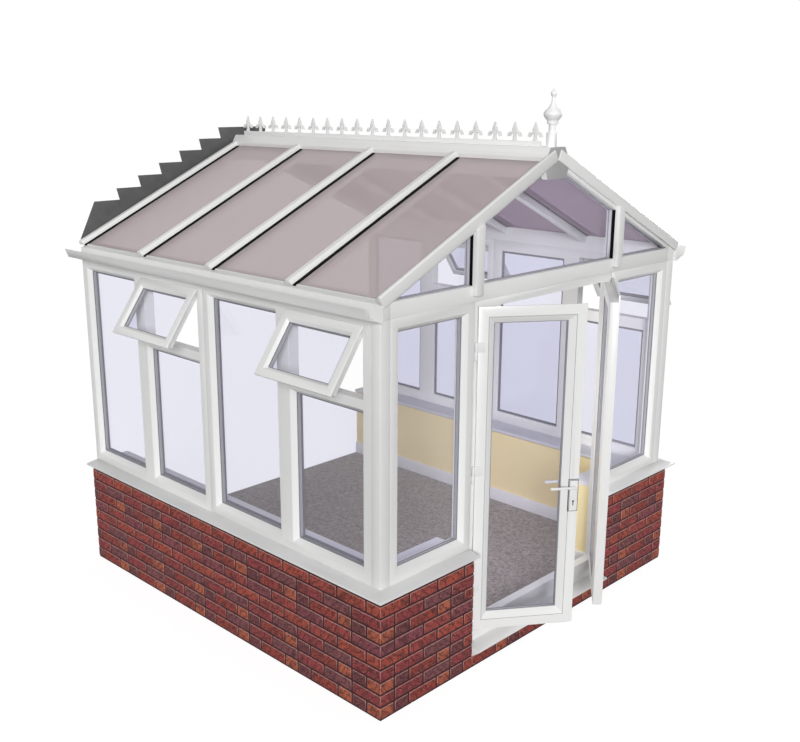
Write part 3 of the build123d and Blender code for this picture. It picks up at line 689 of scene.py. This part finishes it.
def glass_seals(node, body, bite, name, material, wide=SEAL_WIDE, way=0):
    """The seal round each pane, just clear of the frame's bite; its colour is partly the seal's own, partly
    painted shade at the glass edge.
    """
    item = thickened(pane_rims(node, bite, wide, way), SEAL_PROUD, 1)
    finished(item, name, body, "grey_trim", material)


def spacer_bars(node, body, name):
    """The spacer between the two sheets of each sealed unit, seen through the glass as a band round it."""
    item = pane_rims(node, 0, GLASS_BITE + SPACER_SIGHT, 1)
    edit(item)
    bpy.ops.transform.shrink_fatten(value=-SHEET_THICK)
    close_edit()
    finished(thickened(item, GLASS_THICK - 2 * SHEET_THICK, -1), name, body, "grey_trim", spacer_metal)


def on_leaf(item, side):
    """Turn a piece from the shut right-hand leaf to where one of the leaves stands at rest."""
    turn = Matrix.Translation(HINGE) @ Matrix.Rotation(LEAF_OPEN, 4, "Z") @ Matrix.Translation(-HINGE)
    if side == "left":
        turn = Matrix.Scale(-1, 4, (1, 0, 0)) @ turn
    return placed(item, turn)


def four_bars(low, high, wide, near, far):
    """Four thin bars round a rectangle, given by its outer corners along X and Z, from one Y to another."""
    sides = [(low.x, low.x + wide, low.y, high.y), (high.x - wide, high.x, low.y, high.y),
             (low.x, high.x, low.y, low.y + wide), (low.x, high.x, high.y - wide, high.y)]
    return [block((x0, near, z0), (x1, far, z1), GASKET_EDGE) for x0, x1, z0, z1 in sides]


def bead_gasket_and_shade_line(side):
    """The thin grey line between a leaf and the bead that holds its glass: partly gasket, partly painted
    shade in the gap.
    """
    low, high = LEAF_LIGHT
    wide = Vector((GASKET_WIDE, GASKET_WIDE))
    bars = four_bars(low - wide, high + wide, GASKET_WIDE, LEAF_FACE - GASKET_PROUD, LEAF_FACE + GASKET_PROUD)
    finished(on_leaf(joined(bars), side), f"{side}_leaf_bead_gasket_and_shade_line", f"{side}_door", "grey_trim", grey_seal_and_shade)


def lock_details():
    """The dark rim under each lock plate, partly gasket and partly painted shade in the gap, a black line on
    the plate's face painted as the shade of its outline, and its keyway, black as painted shade in the
    keyhole.
    """
    pieces = []
    for face, out in ((LEAF_FACE, -1), (LEAF_BACK, 1)):
        near, far = sorted((face, face + out * RIM_THICK))
        # Rim under the plate: partly gasket, partly painted shade in the gap
        pieces.append(block((HANDLE_X - RIM_HALF, near, RIM_LOW), (HANDLE_X + RIM_HALF, far, RIM_HIGH),
                            GASKET_EDGE))
        # Keyway: black as painted shade in the keyhole
        floor = face + out * KEYWAY_OUT
        near, far = sorted((floor, floor + out * KEYWAY_THICK))
        pieces.append(block((HANDLE_X - KEYWAY_HALF, near, KEYWAY_LOW),
                            (HANDLE_X + KEYWAY_HALF, far, KEYWAY_HIGH), GASKET_EDGE))
        # Black line round the face of the plate, painted as the shade of its outline
        line = face + out * PLATE_THICK
        near, far = sorted((line - out * GASKET_PROUD, line + out * GASKET_PROUD))
        low, high = Vector((HANDLE_X - SHADE_LINE_HALF, SHADE_LINE_LOW)), Vector((HANDLE_X + SHADE_LINE_HALF, SHADE_LINE_HIGH))
        pieces += four_bars(low, high, SHADE_LINE_WIDE, near, far)
    finished(on_leaf(joined(pieces), "left"), "lock_gaskets_keyways_and_shade_lines", "left_door", "grey_trim", black_rubber_and_shade)


def on_slope(item, side):
    """Move a piece from the flat, where X runs up from the edge of the glass, onto one slope of the roof."""
    low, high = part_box(f"{side}_roof_glass")
    sign = 1 if side == "right" else -1
    edge = max(abs(low.x), abs(high.x))
    up = Vector((-sign * cos(PITCH), 0, sin(PITCH)))
    off = Vector((sign * sin(PITCH), 0, cos(PITCH)))
    place = Matrix((up, (0, 1, 0), off)).transposed().to_4x4()
    place.translation = (sign * edge, 0, low.z + GLASS_THICK * cos(PITCH))
    return placed(item, place)


def roof_trims(side):
    """Rubber along each roof bar, over and under the glass, and a channel on the edge of each pane."""
    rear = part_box(f"{side}_roof_glass")[1].y
    bars = sorted((low.y, high.y) for low, high in boxes_of(f"{side}_roof_bars"))
    strips = []
    for near, far in bars:
        strips.append(block((-BAR_OVERHANG, near - STRIP_WIDE, 0), (BAR_RISE, near, STRIP_TALL), TRIM_EDGE))
        strips.append(block((INNER_FROM, near - INNER_WIDE, -GLASS_THICK - INNER_TALL),
                            (BAR_RISE, near, -GLASS_THICK), TRIM_EDGE))
        if far < rear:
            strips.append(block((EAVES_TRIM, far, 0), (BAR_RISE, far + STRIP_WIDE, STRIP_TALL), TRIM_EDGE))
    finished(on_slope(joined(strips), side), f"{side}_roof_bar_rubbers", "building", "grey_trim", black_rubber_and_shade)
    channels = []
    for low, high in boxes_of(f"{side}_roof_glass"):
        channels.append(block((-TRIM_WALL, low.y, -GLASS_THICK - TRIM_WALL),
                              (EAVES_TRIM, high.y, TRIM_WALL), TRIM_EDGE))
    finished(on_slope(joined(channels), side), f"{side}_glass_edge_channels", "building", "white_upvc", upvc)


def gable_rubbers():
    """Rubber down both sides of each gable bar, between its cap and the glass."""
    beam_low, beam_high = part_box("front_beam")
    glass_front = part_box("gable_glass")[0].y
    roof_low, roof_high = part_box("right_roof_glass")
    eaves = roof_low.z + GLASS_THICK * cos(PITCH)
    pads = []
    for low, high in boxes_of("gable_bars"):
        middle = (low.x + high.x) / 2
        for way in (-1, 1):
            near = middle + way * GABLE_WEB / 2
            far = near + way * PAD_THICK
            rise = (roof_high.x - max(abs(near), abs(far))) * tan(PITCH)
            top = eaves + rise - RAFTER_DROP / cos(PITCH)
            pads.append(block((min(near, far), beam_low.y, beam_high.z),
                              (max(near, far), glass_front, top), TRIM_EDGE))
    finished(joined(pads), "gable_bar_rubbers", "building", "grey_trim", black_rubber_and_shade)


master = brick_master()
chance = Random(BRICK_SEED)
brickwork("left", master, chance)
brickwork("right", master, chance)
threshold_bricks(master, chance)
bpy.data.objects.remove(master)

WHITE_FRAMES = [
    "corner_posts", "left_front_window_frame", "right_front_window_frame", "left_rear_window_frame",
    "right_rear_window_frame", "fanlight_sashes", "front_window_frames", "door_frame", "eaves_beams",
    "front_beam", "left_roof_bars", "right_roof_bars", "left_gable_rafter", "right_gable_rafter",
    "gable_bars", "ridge", "left_cill", "right_cill", "front_cills", "door_cill",
]
for node in WHITE_FRAMES:
    softened(node, "building", "white_upvc", upvc)

# Node, body, slot, material, eased edge and its segments
OTHER_PIECES = [
    ("left_gutter", "building", "white_upvc", upvc, GUTTER_EDGE, 1),
    ("right_gutter", "building", "white_upvc", upvc, GUTTER_EDGE, 1),
    ("ridge_cresting", "building", "white_upvc", upvc, CREST_EDGE, 2),
    # The finial's brighter white is painted light
    ("finial", "building", "white_upvc", finial_white_lit, 0, 0),
    # The ridge end's grey is painted shade
    ("ridge_end", "building", "grey_trim", ridge_end_shade_grey, RIDGE_END_EDGE, 2),
    ("left_door_leaf", "left_door", "white_upvc", upvc, FRAME_EDGE, 2),
    ("right_door_leaf", "right_door", "white_upvc", upvc, FRAME_EDGE, 2),
    ("window_boards", "building", "white_paint", board_laminate, BOARD_EDGE, 3),
    ("skirting_boards", "building", "white_paint", timber_paint, SKIRTING_EDGE, 3),
    ("step_flashing", "building", "lead", lead, LEAD_EDGE, 2),
    ("jamb_hinges", "building", "white_metal", coated_metal, HINGE_EDGE, 2),
    ("left_door_hinges", "left_door", "white_metal", coated_metal, HINGE_EDGE, 2),
    ("right_door_hinges", "right_door", "white_metal", coated_metal, HINGE_EDGE, 2),
    ("lock_plates", "left_door", "white_metal", coated_metal, PLATE_EDGE, 2),
    ("lever_handle", "door_lever", "white_metal", coated_metal, 0, 0),
]
for piece in OTHER_PIECES:
    softened(*piece)

# CAD nodes that show as they are
PLAIN_NODES = {
    "floor_slab": concrete, "carpet": carpet_pile, "wall_plaster": plaster,
    "left_window_glass": clear_glass, "right_window_glass": clear_glass, "fanlight_glass": clear_glass,
    "front_window_glass": clear_glass, "left_door_glass": clear_glass, "right_door_glass": clear_glass,
    "gable_glass": clear_glass, "left_roof_glass": tinted_glass, "right_roof_glass": tinted_glass,
}
for node, material in PLAIN_NODES.items():
    nodes[node].data.materials.clear()
    nodes[node].data.materials.append(material)

for side in ("left", "right"):
    glass_seals(f"{side}_window_glass", "building", GLASS_BITE, f"{side}_window_seals", grey_seal_and_shade, way=1)
    # A wide slate band on the room side: partly a seal, partly painted shade of the reveal
    glass_seals(f"{side}_window_glass", "building", GLASS_BITE, f"{side}_window_inner_shade_seals", slate_shade_seal,
                INNER_SHADE_SEAL_WIDE, way=-1)
# Grey seals: partly the seals, partly painted shade at the glass edges
glass_seals("front_window_glass", "building", GLASS_BITE, "front_window_seals", grey_seal_and_shade)
glass_seals("fanlight_glass", "building", GLASS_BITE, "fanlight_seals", grey_seal_and_shade)
for side in ("left", "right"):
    glass_seals(f"{side}_door_glass", f"{side}_door", GLASS_BITE, f"{side}_door_seals", grey_seal_and_shade)
glass_seals("gable_glass", "building", 0, "gable_seals", grey_seal_and_shade)
for light in ("left_window", "right_window", "front_window", "fanlight"):
    spacer_bars(f"{light}_glass", "building", f"{light}_spacers")
for side in ("left", "right"):
    spacer_bars(f"{side}_door_glass", f"{side}_door", f"{side}_door_spacers")
for side in ("left", "right"):
    bead_gasket_and_shade_line(side)
lock_details()
for side in ("left", "right"):
    roof_trims(side)
gable_rubbers()


# Stage, light and camera


def seen_rays(tree):
    """One for rays that show a surface to the eye: direct, mirrored or through glass."""
    path = add(tree, "ShaderNodeLightPath")
    either = add(tree, "ShaderNodeMath",
                 links={0: path.outputs["Is Camera Ray"], 1: path.outputs["Is Glossy Ray"]},
                 operation="MAXIMUM")
    seen = add(tree, "ShaderNodeMath",
               links={0: either.outputs["Value"], 1: path.outputs["Is Transmission Ray"]},
               operation="MAXIMUM")
    return seen.outputs["Value"]


def stage():
    """A plain white floor that shows as white to the camera and still takes the shadow."""
    bpy.ops.object.select_all(action="DESELECT")
    bpy.ops.mesh.primitive_plane_add(size=FLOOR_SIZE, location=(0, 0, 0))
    floor = bpy.context.object
    floor.name = "studio_floor"
    material = bpy.data.materials.new("white_studio_floor")
    material.use_nodes = True
    tree = material.node_tree
    tree.nodes.remove(tree.nodes["Principled BSDF"])
    seen = seen_rays(tree)
    matt = add(tree, "ShaderNodeBsdfDiffuse", {"Color": paint("#959595")})
    glow = add(tree, "ShaderNodeEmission", {"Color": paint("#FFFFFF"), "Strength": 0.86})
    lit = add(tree, "ShaderNodeAddShader", links={0: matt.outputs["BSDF"], 1: glow.outputs["Emission"]})
    mixed = add(tree, "ShaderNodeMixShader",
                links={"Fac": seen, 1: matt.outputs["BSDF"], 2: lit.outputs["Shader"]})
    tree.links.new(mixed.outputs["Shader"], tree.nodes["Material Output"].inputs["Surface"])
    floor.data.materials.append(material)


def studio_light():
    """An even white surround, broad lamps in front, at the sides and overhead, and a soft one in the room."""
    world = bpy.data.worlds.new("studio")
    bpy.context.scene.world = world
    world.use_nodes = True
    tree = world.node_tree
    tree.nodes.clear()
    seen = seen_rays(tree)
    room = add(tree, "ShaderNodeBackground", {"Color": paint("#FFFFFF"), "Strength": 0.15})
    white = add(tree, "ShaderNodeBackground", {"Color": paint("#FFFFFF"), "Strength": 1.0})
    mixed = add(tree, "ShaderNodeMixShader",
                links={"Fac": seen, 1: room.outputs["Background"], 2: white.outputs["Background"]})
    add(tree, "ShaderNodeOutputWorld", links={"Surface": mixed.outputs["Shader"]})
    # Strength, spread and the way the light travels
    lamps = {
        "front_lamp": (2.6, radians(20), Vector((0.66, 0.7, -0.27))),
        "left_lamp": (0.1, radians(30), Vector((0.88, -0.38, -0.2))),
        "right_lamp": (1.1, radians(20), Vector((-0.97, -0.2, -0.1))),
        "overhead_lamp": (0.38, radians(60), Vector((0.1, 0.15, -1))),
    }
    for name, (strength, spread, way) in lamps.items():
        lamp = bpy.data.lights.new(name, "SUN")
        lamp.energy = strength
        lamp.angle = spread
        holder = bpy.data.objects.new(name, lamp)
        holder.rotation_euler = way.to_track_quat("-Z", "Y").to_euler()
        bpy.context.scene.collection.objects.link(holder)
    bulb = bpy.data.lights.new("room_lamp", "POINT")
    bulb.energy = ROOM_LAMP_WATTS
    bulb.shadow_soft_size = ROOM_LAMP_RADIUS
    holder = bpy.data.objects.new("room_lamp", bulb)
    holder.location = ROOM_LAMP_PLACE
    holder.visible_camera = False
    holder.visible_glossy = False
    bpy.context.scene.collection.objects.link(holder)


def camera():
    """The camera at the photograph's place: off the front left corner, looking down over the eaves."""
    lens = bpy.data.cameras.new("camera")
    lens.sensor_width = 36
    lens.lens = 45.83
    lens.shift_x = 0.0261
    lens.shift_y = -0.0006
    holder = bpy.data.objects.new("camera", lens)
    level = cos(CAMERA_DOWN)
    way = Vector((sin(CAMERA_TURN) * level, cos(CAMERA_TURN) * level, -sin(CAMERA_DOWN)))
    holder.location = CAMERA_PLACE
    holder.rotation_euler = way.to_track_quat("-Z", "Y").to_euler()
    bpy.context.scene.collection.objects.link(holder)
    bpy.context.scene.camera = holder


stage()
studio_light()
camera()
bpy.context.scene.view_settings.view_transform = "Standard"
